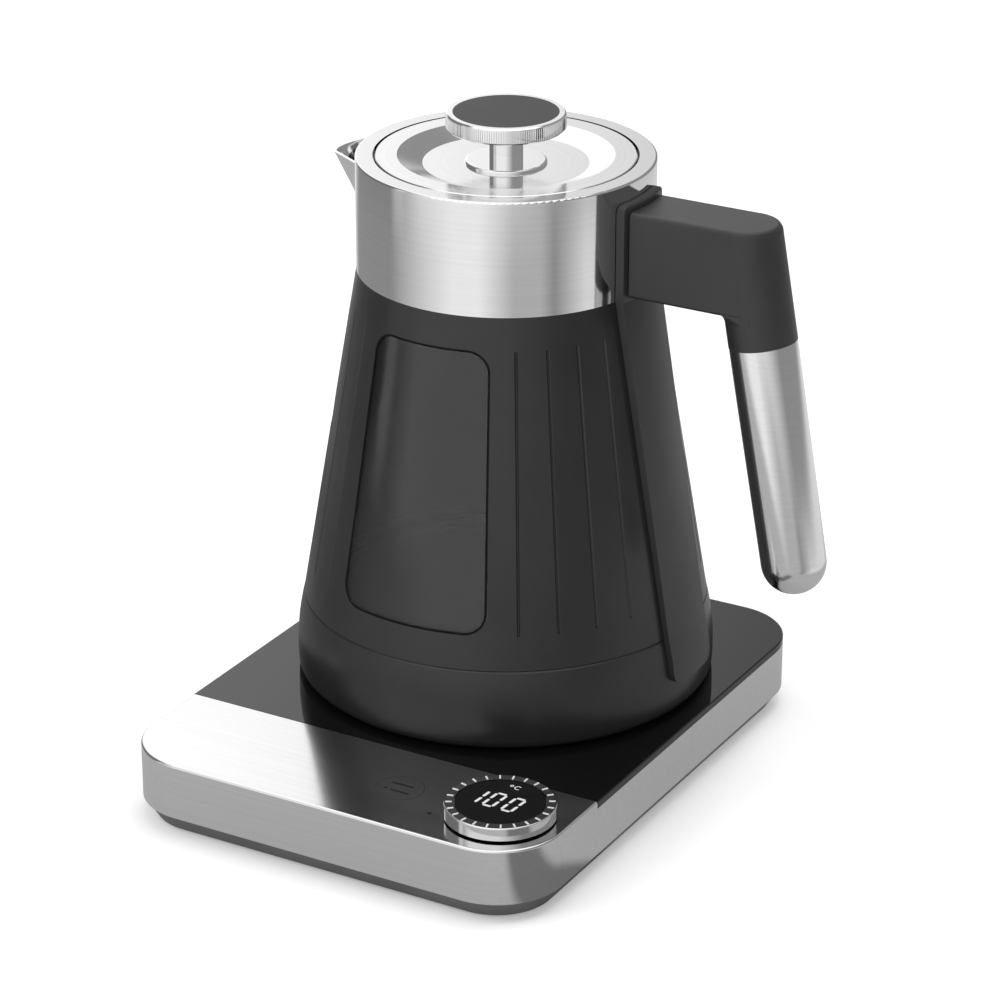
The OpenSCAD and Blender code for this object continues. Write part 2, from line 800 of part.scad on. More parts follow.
// The spout's V, leaning along its ridge and drawn in by a wall
module spout_prism(inset) {
    q = spout_round - inset;
    side = [cos(spout_half), sin(spout_half)];
    out = [-side[1], side[0]];
    middle = [spout_round, 0];
    touch = middle + q * out;
    far = touch + spout_reach * side;
    apex = spout_round - q / side[1];
    corner = touch + slip * out;
    translate([ridge_x, 0, ridge_z]) rotate([0, -ridge_lean, 0]) translate([0, 0, -spout_below])
        linear_extrude(spout_length) difference() {
            polygon([[apex, 0], far, [far[0], -far[1]]]);
            difference() {
                polygon([middle, corner, [apex - slip / side[1], 0], [corner[0], -corner[1]]]);
                translate(middle) circle(q);
            }
        }
}

module spout_outer() {
    difference() {
        spout_prism(0);
        translate([lip_x, 0, lip_z]) rotate([0, -lip_slope, 0])
            translate([-2 * spout_length, -spout_length, 0]) cube([3 * spout_length, 2 * spout_length, spout_length]);
        cylinder(r = collar_r - collar_wall / 2, h = 2 * collar_top);
    }
}

module spout_inner() {
    difference() {
        spout_prism(spout_wall);
        translate([-2 * spout_length, -spout_length, lip_z])
            cube([3 * spout_length, 2 * spout_length, spout_length]);
        translate([-2 * spout_length, -spout_length, collar_floor + slip - spout_length])
            cube([3 * spout_length, 2 * spout_length, spout_length]);
        cylinder(r = spout_slot_r, h = 2 * collar_top);
    }
}

module collar() {
    color("silver") on_glass() difference() {
        union() {
            difference() {
                rotate_extrude() round_edge(collar_r, collar_z, collar_top, collar_round);
                ring(mouth_r, 0, seat_z, collar_top + slip);
                ring(mouth_r - seat_ledge, 0, collar_z - slip, collar_top);
                difference() {
                    ring(collar_in, 0, collar_floor, collar_top - collar_wall);
                    ring(mouth_r + seat_tube, 0, seat_z - seat_tube, collar_top);
                }
            }
            spout_outer();
        }
        spout_inner();
        for (z = handle_screw_z) translate([0, 0, z]) rotate([0, 90, 0])
            cylinder(r = handle_screw_r + 0.2, h = collar_r + slip);
    }
}

module spout_strainer() {
    r1 = strainer_r + strainer_wall;
    z0 = collar_floor;
    rows = floor((strainer_z1 - z0 - 9) / strainer_pitch);
    color("silver") on_glass() difference() {
        rotate(180 - strainer_half) rotate_extrude(angle = 2 * strainer_half) polygon([
            [strainer_r, z0], [collar_in - 0.2, z0], [collar_in - 0.2, z0 + 1.5], [r1, z0 + 1.5],
            [r1, strainer_z1], [strainer_r, strainer_z1]]);
        for (i = [0:rows - 1], turn = [-3:3]) rotate(180 + turn * strainer_half / 4)
            translate([strainer_r - slip, 0, z0 + 6 + i * strainer_pitch]) rotate([0, 90, 0])
                cylinder(r = strainer_hole_r, h = strainer_wall + 2 * slip);
    }
}

// ---------- handle ----------

// Moves to the lower end of the elbow, with the axis running down the grip
module along_grip() {
    on_glass() translate([grip_x, 0, grip_z]) rotate([0, 180 - grip_lean, 0]) children();
}

// Outer face of the kettle that the spine follows, as points from low to high
function spine_line(gap_low, gap_high, top) = concat(
    [for (i = [0:4]) let (z = spine_z0 - slip + i * (seam_z - spine_z0 + slip) / 4)
        [belly_at(z) + gap_low, z]],
    [[collar_r + gap_high, collar_z], [collar_r + gap_high, top]]);

module handle_spine() {
    inner = spine_line(spine_gap, spine_gap, spine_top);
    outer = spine_line(spine_low_proud, spine_proud, spine_top - spine_edge);
    edge = [for (turn = [30:30:90])
        [collar_r + spine_proud - spine_edge * (1 - cos(turn)), spine_top - spine_edge * (1 - sin(turn))]];
    turned = [for (i = [len(inner) - 1:-1:0]) inner[i]];
    color("#1c1c1e") on_glass() difference() {
        intersection() {
            rotate_extrude() polygon(concat(outer, edge, turned));
            rotate([90, 0, 90]) linear_extrude(2 * belly_r)
                plan(2 * spine_half, spine_z0, spine_top + spine_half, spine_foot);
            rotate([90, 0, 90]) linear_extrude(2 * belly_r)
                plan(2 * spine_half, spine_z0 - spine_half, spine_top, spine_corner);
        }
        for (z = handle_screw_z) translate([0, 0, z]) rotate([0, 90, 0])
            cylinder(r = handle_screw_r + 0.2, h = 2 * collar_r);
    }
}

// Reach of the grip's leaning axis at a height
function axis_at(z) = grip_x - (z - grip_z) * tan(grip_lean);

// Straight arm with rounded edges, ending along the grip's axis
module arm() {
    reach = axis_at(arm_z0 - slip);
    intersection() {
        translate([arm_x0, 0, 0]) rotate([90, 0, 90]) linear_extrude(reach - arm_x0)
            plan(arm_width, arm_z0, arm_z1, arm_round);
        rotate([90, 0, 0]) translate([0, 0, -arm_width]) linear_extrude(2 * arm_width)
            polygon([[0, arm_z0 - slip], [reach, arm_z0 - slip], [axis_at(arm_z1 + slip), arm_z1 + slip],
                [0, arm_z1 + slip]]);
    }
}

// Moves to the lower end of the elbow, with the axis running up the elbow
module up_elbow() {
    translate([grip_x, 0, grip_z]) rotate([0, -grip_lean, 0]) children();
}

module elbow() {
    length = (arm_z1 - grip_z) / cos(grip_lean) + grip_r0;
    top_r = elbow_r - arm_round;
    reach = 3 * elbow_r;
    last_r = top_r + arm_round * sin(60);
    last_z = arm_z1 - arm_round * (1 - cos(60));
    intersection() {
        up_elbow() cylinder(r = elbow_r, h = length);
        translate([grip_top_x, 0, 0]) rotate_extrude() polygon(concat(
            [[0, 0], [reach, 0], [reach, last_z - (reach - last_r) * tan(60)]],
            [for (turn = [60:-10:0]) [top_r + arm_round * sin(turn), arm_z1 - arm_round * (1 - cos(turn))]],
            [[0, arm_z1]]));
    }
}

// Hollow fillet under the arm on the kettle's side of the grip
module elbow_web() {
    q = elbow_fillet;
    r_mid = elbow_r + q - elbow_proud;
    h_mid = (arm_z0 + elbow_proud - q - grip_z + r_mid * sin(grip_lean)) / cos(grip_lean);
    r_end = r_mid - q * sin(grip_lean);
    h_end = h_mid + q * cos(grip_lean) + 2;
    intersection() {
        up_elbow() rotate_extrude() difference() {
            polygon([[elbow_r - slip, h_mid], [r_end, h_mid], [r_end, h_end], [elbow_r - slip, h_end]]);
            translate([r_mid, h_mid]) circle(q);
        }
        translate([grip_x - 2 * arm_width, -arm_width / 2, grip_z])
            cube([2 * arm_width, arm_width, arm_z0 + 1 - grip_z]);
    }
}

module handle_arm() {
    color("#1c1c1e") difference() {
        union() {
            on_glass() difference() {
                arm();
                ring(collar_r + spine_proud + 0.1, 0, arm_z0 - slip, arm_z1 + slip);
                for (z = handle_screw_z) translate([0, 0, z]) rotate([0, 90, 0])
                    cylinder(r = handle_screw_r + 0.05, h = collar_r + 22);
            }
            on_glass() elbow();
            on_glass() elbow_web();
            along_grip() translate([0, 0, -slip]) cylinder(r = core_grip_r, h = spigot_length + slip);
        }
        along_grip() translate([0, 0, -rod_up]) cylinder(r = rod_r + rod_play, h = rod_up + spigot_length + slip);
    }
}

module grip_core() {
    color("dimgray") along_grip() ring(core_grip_r, rod_r + rod_play, spigot_length, grip_length - 2);
}

module grip_sleeve() {
    color("silver") along_grip() rotate_extrude() polygon([
        [grip_r0 - sleeve_wall, 0], [grip_r0, 0], [grip_r1, grip_length], [grip_r1 - sleeve_wall, grip_length]]);
}

module grip_cap() {
    color("silver") along_grip() difference() {
        union() {
            intersection() {
                translate([0, 0, grip_length]) sphere(grip_r1);
                ring(2 * grip_r1, 0, grip_length, grip_length + 2 * grip_r1);
            }
            ring(core_grip_r, 0, grip_length - 2, grip_length + slip);
        }
        ring(nut_r + 0.1, 0, grip_length - 2 - slip, grip_length + nut_h + 1);
    }
}

module grip_rod() {
    color("gray") along_grip() {
        ring(rod_r, 0, -rod_up + 1, grip_length - 1);
        ring(nut_r, 0, grip_length - 2, grip_length - 2 + nut_h);
    }
}

module handle_screws() {
    color("gray") on_glass() for (z = handle_screw_z) translate([0, 0, z]) rotate([0, 90, 0]) {
        ring(2 * handle_screw_r, 0, collar_in - 2.6, collar_in - 0.3);
        ring(handle_screw_r, 0, collar_in - 2.6, collar_r + 20);
    }
}

// ---------- lid ----------

module lid_plate() {
    t = lid_sheet;
    color("silver") on_glass() rotate_extrude() polygon([
        [stem_r, dish_under], [lid_dish_r, dish_under], [lid_rim_r, collar_top - t], [lid_r - t, collar_top - t],
        [lid_r - t, lid_skirt_z], [lid_r, lid_skirt_z], [lid_r, collar_top - 0.3], [lid_r - 0.3, collar_top],
        [lid_rim_r, collar_top], [lid_dish_r, dish_z], [stem_r, dish_z]]);
}

module lid_body() {
    color("dimgray") on_glass() difference() {
        ring(lid_body_r, 0, lid_body_z0, dish_under);
        ring(lid_body_r - 2, 30, lid_body_z0 - slip, dish_under - 2);
        ring(knob_screw_r + 0.2, 0, lid_body_z0 - slip, dish_under + slip);
    }
}

module lid_gasket() {
    color("gray") on_glass() ring(lid_r, lid_body_r + 0.2, seat_z + 0.3, lid_skirt_z);
}

module lid_liner() {
    color("silver") on_glass() ring(lid_body_r - 0.5, knob_screw_r + 0.2, lid_body_z0 - liner_wall, lid_body_z0);
}

module lid_knob() {
    r = knob_r;
    color("silver") on_glass() difference() {
        rotate_extrude() {
            translate([0, dish_z]) round_edge(boss_r, 0, boss_h, 0.8);
            translate([0, dish_under]) square([stem_r - 0.1, knob_z0 - dish_under + slip]);
            polygon([[0, knob_z0], [r - knob_bevel, knob_z0], [r, knob_z0 + knob_bevel],
                [r, knob_z1 - knob_bevel], [r - knob_bevel, knob_z1], [0, knob_z1]]);
        }
        ring(inlay_r, 0, knob_z1 - inlay_h, knob_z1 + slip);
        ring(knob_screw_r + 0.05, 0, dish_under - slip, knob_z0);
    }
}

module knob_inlay() {
    color("black") on_glass() ring(inlay_r - 0.05, 0, knob_z1 - inlay_h, knob_z1);
}

module knob_screw() {
    head_z = lid_body_z0 - liner_wall - 2;
    color("gray") on_glass() {
        ring(2 * knob_screw_r, 0, head_z, head_z + 2);
        ring(knob_screw_r, 0, head_z, knob_z0 - 2);
    }
}

base_shell();
glass_plate();
bottom_pan();
rubber_feet();
pan_screws();
chassis();
cord_bush();
power_board();
control_board();
touch_sensor();
indicator_led();
coupler_post();
coupler_contacts();
dial_encoder();
dial_core();
dial_display();
dial_ring();
dial_ticks();
coupler_socket();
socket_contacts();
base_ring();
bottom_cover();
cover_screws();
thermostat();
heating_element();
heat_spreader();
floor_plate();
jug_seal_lower();
glass_jug();
jug_seal_upper();
jacket();
window_pane();
collar();
spout_strainer();
handle_spine();
handle_arm();
grip_core();
grip_sleeve();
grip_cap();
grip_rod();
handle_screws();
lid_plate();
lid_body();
lid_gasket();
lid_liner();
lid_knob();
knob_inlay();
knob_screw();
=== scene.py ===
"""Looks for an electric kettle on its power base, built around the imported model.

Lengths are in metres. +X is the handle's side, -Y the front with the dial, +Z up,
and the kettle's axis is the Z axis.
"""
import json
import math

import bmesh
import bpy
from mathutils import Matrix, Vector


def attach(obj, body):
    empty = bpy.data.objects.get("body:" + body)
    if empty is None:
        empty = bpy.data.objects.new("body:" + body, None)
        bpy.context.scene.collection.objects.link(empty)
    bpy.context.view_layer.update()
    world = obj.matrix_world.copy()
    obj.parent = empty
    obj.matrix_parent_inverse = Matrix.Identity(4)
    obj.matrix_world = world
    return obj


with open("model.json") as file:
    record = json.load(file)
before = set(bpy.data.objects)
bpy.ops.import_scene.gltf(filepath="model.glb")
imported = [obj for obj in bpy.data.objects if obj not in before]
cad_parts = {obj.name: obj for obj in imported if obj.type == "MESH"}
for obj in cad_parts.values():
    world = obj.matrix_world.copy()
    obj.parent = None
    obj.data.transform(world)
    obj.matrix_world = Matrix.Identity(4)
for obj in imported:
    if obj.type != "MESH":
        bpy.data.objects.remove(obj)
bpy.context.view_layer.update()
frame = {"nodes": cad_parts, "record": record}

MM = 0.001
GLASS_TOP = 0.029

# ---------------------------------------------------------------- stage

CAMERA_AT = Vector((0.6356, -1.1196, 0.6599))
CAMERA_TARGET = Vector((-0.00294, 0.0, 0.09454))
LENS_MM = 134.2547
SENSOR_MM = 36.0


def add_camera():
    """The camera stands at the right front, above the lid's height."""
    data = bpy.data.cameras.new("camera")
    data.lens = LENS_MM
    data.sensor_width = SENSOR_MM
    data.clip_start = 0.05
    camera = bpy.data.objects.new("camera", data)
    camera.location = CAMERA_AT
    camera.rotation_euler = (CAMERA_TARGET - CAMERA_AT).to_track_quat("-Z", "Y").to_euler()
    bpy.context.scene.collection.objects.link(camera)
    bpy.context.scene.camera = camera


add_camera()
bpy.context.scene.view_settings.view_transform = "Standard"


# ---------------------------------------------------------------- shader helpers

def add_node(tree, kind, settings=None, **inputs):
    """A new node; inputs are numbers, colours or other nodes' output sockets."""
    made = tree.nodes.new(kind)
    for name, value in (settings or {}).items():
        setattr(made, name, value)
    for name, value in inputs.items():
        key = int(name[1:]) if name[0] == "_" else name.replace("_", " ")
        if isinstance(value, bpy.types.NodeSocket):
            tree.links.new(value, made.inputs[key])
        else:
            made.inputs[key].default_value = value
    return made


def math_node(tree, operation, first, second=0.0):
    return add_node(tree, "ShaderNodeMath", {"operation": operation}, _0=first, _1=second).outputs[0]


def scaled(tree, vector, scale, location=(0, 0, 0), rotation=(0, 0, 0)):
    """A vector moved, turned and scaled by a Mapping node."""
    mapping = add_node(tree, "ShaderNodeMapping", Vector=vector, Scale=scale, Location=location,
                       Rotation=rotation)
    return mapping.outputs["Vector"]


def new_group(name, inputs, outputs):
    """An empty shader group with named sockets, and its input and output nodes."""
    tree = bpy.data.node_groups.new(name, "ShaderNodeTree")
    for label, kind, value in inputs:
        socket = tree.interface.new_socket(label, in_out="INPUT", socket_type=kind)
        if value is not None:
            socket.default_value = value
    for label, kind in outputs:
        tree.interface.new_socket(label, in_out="OUTPUT", socket_type=kind)
    return tree, tree.nodes.new("NodeGroupInput"), tree.nodes.new("NodeGroupOutput")


FLOAT, VECTOR, COLOUR = "NodeSocketFloat", "NodeSocketVector", "NodeSocketColor"


FINE_SHARE = 0.9
BROAD_SHARE = 0.1


def scratch_outputs(tree, out, fine, broad):
    """Height from fine and broad scratches together, and streaks from the broad ones."""
    height = math_node(tree, "ADD", math_node(tree, "MULTIPLY", fine.outputs["Fac"], FINE_SHARE),
                       math_node(tree, "MULTIPLY", broad.outputs["Fac"], BROAD_SHARE))
    tree.links.new(height, out.inputs["Height"])
    tree.links.new(broad.outputs["Fac"], out.inputs["Streak"])


def make_straight_brushing():
    """Long fine scratches: the Grain input stretches them along one direction."""
    tree, given, out = new_group(
        "straight_brushing",
        [("Position", VECTOR, None), ("Grain", VECTOR, (20, 2000, 2000))],
        [("Height", FLOAT), ("Streak", FLOAT)])
    across = add_node(tree, "ShaderNodeVectorMath", {"operation": "MULTIPLY"},
                      _0=given.outputs["Position"], _1=given.outputs["Grain"]).outputs[0]
    fine = add_node(tree, "ShaderNodeTexNoise", Vector=across, Scale=1.0, Detail=2.0, Roughness=0.6)
    broad = add_node(tree, "ShaderNodeTexNoise", Vector=across, Scale=0.31, Detail=3.0, Roughness=0.8)
    scratch_outputs(tree, out, fine, broad)
    return tree


def make_turned_brushing():
    """Rings of fine scratches round a vertical axis, as a lathe leaves them."""
    tree, given, out = new_group(
        "turned_brushing",
        [("Position", VECTOR, None), ("Centre", VECTOR, (0, 0, 0)), ("Rings", FLOAT, 1500.0)],
        [("Height", FLOAT), ("Streak", FLOAT)])
    offset = add_node(tree, "ShaderNodeVectorMath", {"operation": "SUBTRACT"},
                      _0=given.outputs["Position"], _1=given.outputs["Centre"]).outputs[0]
    flat = add_node(tree, "ShaderNodeVectorMath", {"operation": "MULTIPLY"}, _0=offset,
                    _1=(1, 1, 0)).outputs[0]
    radius = add_node(tree, "ShaderNodeVectorMath", {"operation": "LENGTH"}, _0=flat).outputs["Value"]
    along = math_node(tree, "MULTIPLY", radius, given.outputs["Rings"])
    slow = add_node(tree, "ShaderNodeVectorMath", {"operation": "SCALE"}, _0=flat).outputs[0]
    slow.node.inputs["Scale"].default_value = 12.0
    spread = add_node(tree, "ShaderNodeVectorMath", {"operation": "ADD"}, _0=slow,
                      _1=add_node(tree, "ShaderNodeCombineXYZ", X=0.0, Y=0.0, Z=along).outputs[0])
    fine = add_node(tree, "ShaderNodeTexNoise", Vector=spread.outputs[0], Scale=1.0, Detail=2.0)
    broad = add_node(tree, "ShaderNodeTexNoise", Vector=spread.outputs[0], Scale=0.33, Detail=3.0)
    scratch_outputs(tree, out, fine, broad)
    return tree


def make_moulded_grain():
    """The pebbled skin of moulded plastic or powder paint, with a faint drift of tone."""
    tree, given, out = new_group(
        "moulded_grain",
        [("Position", VECTOR, None), ("Size", FLOAT, 2500.0)],
        [("Height", FLOAT), ("Tone", FLOAT)])
    pebbles = add_node(tree, "ShaderNodeTexNoise", Vector=given.outputs["Position"],
                       Scale=given.outputs["Size"], Detail=3.0, Roughness=0.55)
    drift = add_node(tree, "ShaderNodeTexNoise", Vector=given.outputs["Position"], Scale=22.0,
                     Detail=4.0, Roughness=0.6)
    tree.links.new(pebbles.outputs["Fac"], out.inputs["Height"])
    tree.links.new(drift.outputs["Fac"], out.inputs["Tone"])
    return tree


def make_handling_marks():
    """Roughness that drifts where a hand or a cloth has been, with a few fine wipe marks."""
    tree, given, out = new_group(
        "handling_marks",
        [("Position", VECTOR, None), ("Roughness", FLOAT, 0.3), ("Amount", FLOAT, 0.1)],
        [("Roughness", FLOAT)])
    blotches = add_node(tree, "ShaderNodeTexNoise", Vector=given.outputs["Position"], Scale=34.0,
                        Detail=5.0, Roughness=0.62, Distortion=0.6)
    wipes = add_node(tree, "ShaderNodeTexNoise",
                     Vector=scaled(tree, given.outputs["Position"], (320, 40, 90),
                                   rotation=(0.3, 0.2, 0.7)),
                     Scale=1.0, Detail=3.0)
    mixed = math_node(tree, "ADD", math_node(tree, "MULTIPLY", blotches.outputs["Fac"], 0.7),
                      math_node(tree, "MULTIPLY", wipes.outputs["Fac"], 0.3))
    swing = math_node(tree, "MULTIPLY", math_node(tree, "SUBTRACT", mixed, 0.5),
                      given.outputs["Amount"])
    tree.links.new(math_node(tree, "ADD", given.outputs["Roughness"], swing), out.inputs["Roughness"])
    return tree


STRAIGHT = make_straight_brushing()
TURNED = make_turned_brushing()
GRAIN = make_moulded_grain()
MARKS = make_handling_marks()


def placed(tree, group, **inputs):
    """A group node inside a material."""
    made = tree.nodes.new("ShaderNodeGroup")
    made.node_tree = group
    for name, value in inputs.items():
        if isinstance(value, bpy.types.NodeSocket):
            tree.links.new(value, made.inputs[name])
        else:
            made.inputs[name].default_value = value
    return made


def new_material(name, colour, metallic=0.0, roughness=0.5, **plain):
    """A material with one Principled shader; plain inputs are set on its own sockets."""
    material = bpy.data.materials.new(name)
    material.use_nodes = True
    tree = material.node_tree
    shader = tree.nodes["Principled BSDF"]
    shader.inputs["Base Color"].default_value = (*colour, 1.0)
    shader.inputs["Metallic"].default_value = metallic
    shader.inputs["Roughness"].default_value = roughness
    for label, value in plain.items():
        shader.inputs[label.replace("_", " ")].default_value = value
    material.diffuse_color = (*colour, 1.0)
    return material, tree, shader


def object_position(tree):
    return tree.nodes.new("ShaderNodeTexCoord").outputs["Object"]


def bump(tree, shader, height, strength, distance):
    made = add_node(tree, "ShaderNodeBump", Strength=strength, Distance=distance, Height=height)
    tree.links.new(made.outputs["Normal"], shader.inputs["Normal"])


def tone(tree, shader, factor, dark, light, low=0.35, high=0.65):
    """Base colour that drifts between two close tones."""
    ramp = add_node(tree, "ShaderNodeValToRGB", Fac=factor)
    ramp.color_ramp.elements[0].position = low
    ramp.color_ramp.elements[0].color = (*dark, 1.0)
    ramp.color_ramp.elements[1].position = high
    ramp.color_ramp.elements[1].color = (*light, 1.0)
    tree.links.new(ramp.outputs["Color"], shader.inputs["Base Color"])


def wear(tree, shader, position, roughness, amount):
    """Handling marks on a finish's roughness."""
    worn = placed(tree, MARKS, Position=position, Roughness=roughness, Amount=amount)
    tree.links.new(worn.outputs["Roughness"], shader.inputs["Roughness"])


def grey(value):
    return (value, value, value)


def steel(name, level, roughness, brushing, strength=0.25, marks=0.06, **plain):
    """Steel whose scratches come from a brushing group, placed by the brushing function."""
    material, tree, shader = new_material(name, grey(level), 1.0, roughness, **plain)
    position = object_position(tree)
    lines = brushing(tree, position)
    tone(tree, shader, lines.outputs["Streak"], grey(level * 0.975), grey(min(1.0, level * 1.02)))
    wear(tree, shader, position, roughness, marks)
    bump(tree, shader, lines.outputs["Height"], strength, 0.00002)
    return material


def straight(grain):
    return lambda tree, position: placed(tree, STRAIGHT, Position=position, Grain=grain)


def turned(centre=(0, 0, 0), rings=1800.0):
    return lambda tree, position: placed(tree, TURNED, Position=position, Centre=centre, Rings=rings)


def moulded(name, level, roughness, size=2500.0, strength=0.25, marks=0.12, tint=(1, 1, 1), **plain):
    """Plastic, rubber or powder paint with a pebbled skin."""
    colour = tuple(level * t for t in tint)
    material, tree, shader = new_material(name, colour, 0.0, roughness, **plain)
    position = object_position(tree)
    skin = placed(tree, GRAIN, Position=position, Size=size)
    tone(tree, shader, skin.outputs["Tone"], tuple(c * 0.88 for c in colour),
         tuple(min(1.0, c * 1.12) for c in colour))
    wear(tree, shader, position, roughness, marks)
    bump(tree, shader, skin.outputs["Height"], strength, 0.00005)
    return material


# ---------------------------------------------------------------- stage and light

# A plain studio for polished metal: light panels and dark flags round the object, as
# (compass angle in degrees from +X, level), with the camera at -60. The near ring, the body ring
# of painted shade and the low ring lie on the floor, the high ring stands beyond and above it.
DARK, SHADE, GREY, LIGHT, WHITE, BRIGHT = 0.2, 0.3, 0.5, 0.8, 1.0, 1.3
NEAR_RING = [(-180, SHADE), (-155, SHADE), (-150, LIGHT), (-145, LIGHT), (-140, GREY), (-125, GREY),
             (-58, GREY), (-55, DARK), (-42, DARK), (-39, GREY), (80, GREY), (100, SHADE), (180, SHADE)]
# Painted shade: dark on the spout's side, about 0.23 to 0.37 m from the axis, so that the kettle's black foot
# shows shade in its reflection.
PAINTED_SHADE_RING = [(-180, DARK), (-150, DARK), (-140, GREY), (80, GREY), (100, DARK), (180, DARK)]
LOW_RING = [(-180, SHADE), (-155, SHADE), (-140, GREY), (-100, WHITE), (-80, WHITE), (-55, GREY),
            (-35, GREY), (-25, SHADE), (0, LIGHT), (135, LIGHT), (150, SHADE), (180, SHADE)]
HIGH_RING = [(-180, DARK), (-155, DARK), (-150, LIGHT), (-145, LIGHT), (-140, GREY), (-125, WHITE),
             (-65, WHITE), (-15, SHADE), (110, SHADE), (125, BRIGHT), (140, BRIGHT), (155, DARK), (180, DARK)]
OVERHEAD = (BRIGHT, BRIGHT, BRIGHT, 1)
OVERHEAD_FROM = (0.74, 0.82)


def ring_colour(tree, split, rows):
    """A ring's brightness by the compass angle of a separated vector."""
    angle = math_node(tree, "ARCTAN2", split.outputs["Y"], split.outputs["X"])
    turn = add_node(tree, "ShaderNodeMapRange", _0=angle, _1=-math.pi, _2=math.pi)
    ramp = add_node(tree, "ShaderNodeValToRGB", Fac=turn.outputs[0])
    ramp.color_ramp.interpolation = "LINEAR"
    elements = ramp.color_ramp.elements
    for index, (degrees, value) in enumerate(rows):
        place = (degrees + 180) / 360
        if index == 0:
            stop = elements[0]
        elif index == len(rows) - 1:
            stop = elements[len(elements) - 1]
        else:
            stop = elements.new(place)
        stop.position = place
        stop.color = (value, value, value, 1)
    return ramp.outputs["Color"]


def mixed_colour(tree, factor, first, second):
    mix = add_node(tree, "ShaderNodeMix", {"data_type": "RGBA"}, _0=factor, _6=first, _7=second)
    return mix.outputs[2]


FLOOR_TONE = (0.86, 0.86, 0.86, 1)
FLOOR_LIFT = 0.25
FLOOR_FAR = (0.9, 2.2)
# Painted shadow: near the kettle's axis, the floor's glow for metal is dimmed to this level, and the dimming
# fades out between these distances.
PAINTED_SHADOW_LEVEL = 0.80
PAINTED_SHADOW_FADE = (0.08, 0.20)
FLOOR_HALF = 6.0
WORLD_LEVEL = 0.62


# Each further ring takes over between two distances from the kettle's axis.
RING_STARTS = ((PAINTED_SHADE_RING, 0.23, 0.27), (LOW_RING, 0.31, 0.37), (HIGH_RING, 0.62, 0.9))


def floor_glow(tree, position, distance):
    """What polished metal sees on the floor: one ring after another, going outwards, dimmed near the axis as
    a painted shadow of the kettle.
    """
    split = add_node(tree, "ShaderNodeSeparateXYZ", Vector=position)
    # Painted shadow of the kettle round its foot, in what metal sees.
    painted_shadow = add_node(tree, "ShaderNodeMapRange", _0=distance, _1=PAINTED_SHADOW_FADE[0], _2=PAINTED_SHADOW_FADE[1],
                     _3=PAINTED_SHADOW_LEVEL, _4=1.0)
    colour = ring_colour(tree, split, NEAR_RING)
    for rows, start, end in RING_STARTS:
        share = add_node(tree, "ShaderNodeMapRange", _0=distance, _1=start, _2=end)
        colour = mixed_colour(tree, share.outputs[0], colour, ring_colour(tree, split, rows))
    return add_node(tree, "ShaderNodeEmission", Color=colour, Strength=painted_shadow.outputs[0])


def add_floor():
    """A pale floor that keeps the shadow and shows the studio to polished metal."""
    mesh = bpy.data.meshes.new("floor")
    work = bmesh.new()
    bmesh.ops.create_grid(work, x_segments=1, y_segments=1, size=FLOOR_HALF)
    work.to_mesh(mesh)
    work.free()
    floor = bpy.data.objects.new("floor", mesh)
    bpy.context.scene.collection.objects.link(floor)
    material = bpy.data.materials.new("floor_paper")
    material.use_nodes = True
    tree = material.node_tree
    tree.nodes.remove(tree.nodes["Principled BSDF"])
    paper = add_node(tree, "ShaderNodeBsdfDiffuse", Color=FLOOR_TONE)
    position = object_position(tree)
    distance = add_node(tree, "ShaderNodeVectorMath", {"operation": "LENGTH"}, _0=position).outputs["Value"]
    level = add_node(tree, "ShaderNodeMapRange", _0=distance, _1=FLOOR_FAR[0], _2=FLOOR_FAR[1],
                     _3=FLOOR_LIFT, _4=1.0)
    lift = add_node(tree, "ShaderNodeEmission", Color=(1, 1, 1, 1), Strength=level.outputs[0])
    black = add_node(tree, "ShaderNodeEmission", Strength=0.0)
    path = tree.nodes.new("ShaderNodeLightPath")
    direct = math_node(tree, "MAXIMUM", path.outputs["Is Camera Ray"], path.outputs["Is Transmission Ray"])
    shown = add_node(tree, "ShaderNodeMixShader", Fac=direct, _1=black.outputs[0], _2=lift.outputs[0])
    seen = add_node(tree, "ShaderNodeAddShader", _0=paper.outputs[0], _1=shown.outputs[0])
    glow = floor_glow(tree, position, distance)
    choose = add_node(tree, "ShaderNodeMixShader", Fac=path.outputs["Is Glossy Ray"], _1=seen.outputs[0],
                      _2=glow.outputs[0])
    tree.links.new(choose.outputs[0], tree.nodes["Material Output"].inputs["Surface"])
    mesh.materials.append(material)


def add_world():
    """White to the camera, a plain level for diffuse light, and the high ring for metal."""
    world = bpy.data.worlds.new("studio")
    bpy.context.scene.world = world
    world.use_nodes = True
    tree = world.node_tree
    split = add_node(tree, "ShaderNodeSeparateXYZ",
                     Vector=tree.nodes.new("ShaderNodeTexCoord").outputs["Generated"])
    overhead = add_node(tree, "ShaderNodeMapRange", _0=split.outputs["Z"], _1=OVERHEAD_FROM[0],
                        _2=OVERHEAD_FROM[1])
    colour = mixed_colour(tree, overhead.outputs[0], ring_colour(tree, split, HIGH_RING), OVERHEAD)
    path = tree.nodes.new("ShaderNodeLightPath")
    glossy = add_node(tree, "ShaderNodeBackground", Color=colour, Strength=1.0)
    plain = add_node(tree, "ShaderNodeBackground", Color=(1, 1, 1, 1), Strength=WORLD_LEVEL)
    white = add_node(tree, "ShaderNodeBackground", Color=(1, 1, 1, 1), Strength=1.0)
    level = add_node(tree, "ShaderNodeMixShader", Fac=path.outputs["Is Glossy Ray"], _1=plain.outputs[0],
                     _2=glossy.outputs[0])
    direct = math_node(tree, "MAXIMUM", path.outputs["Is Camera Ray"], path.outputs["Is Transmission Ray"])
    final = add_node(tree, "ShaderNodeMixShader", Fac=direct, _1=level.outputs[0], _2=white.outputs[0])
    tree.links.new(final.outputs[0], tree.nodes["World Output"].inputs["Surface"])


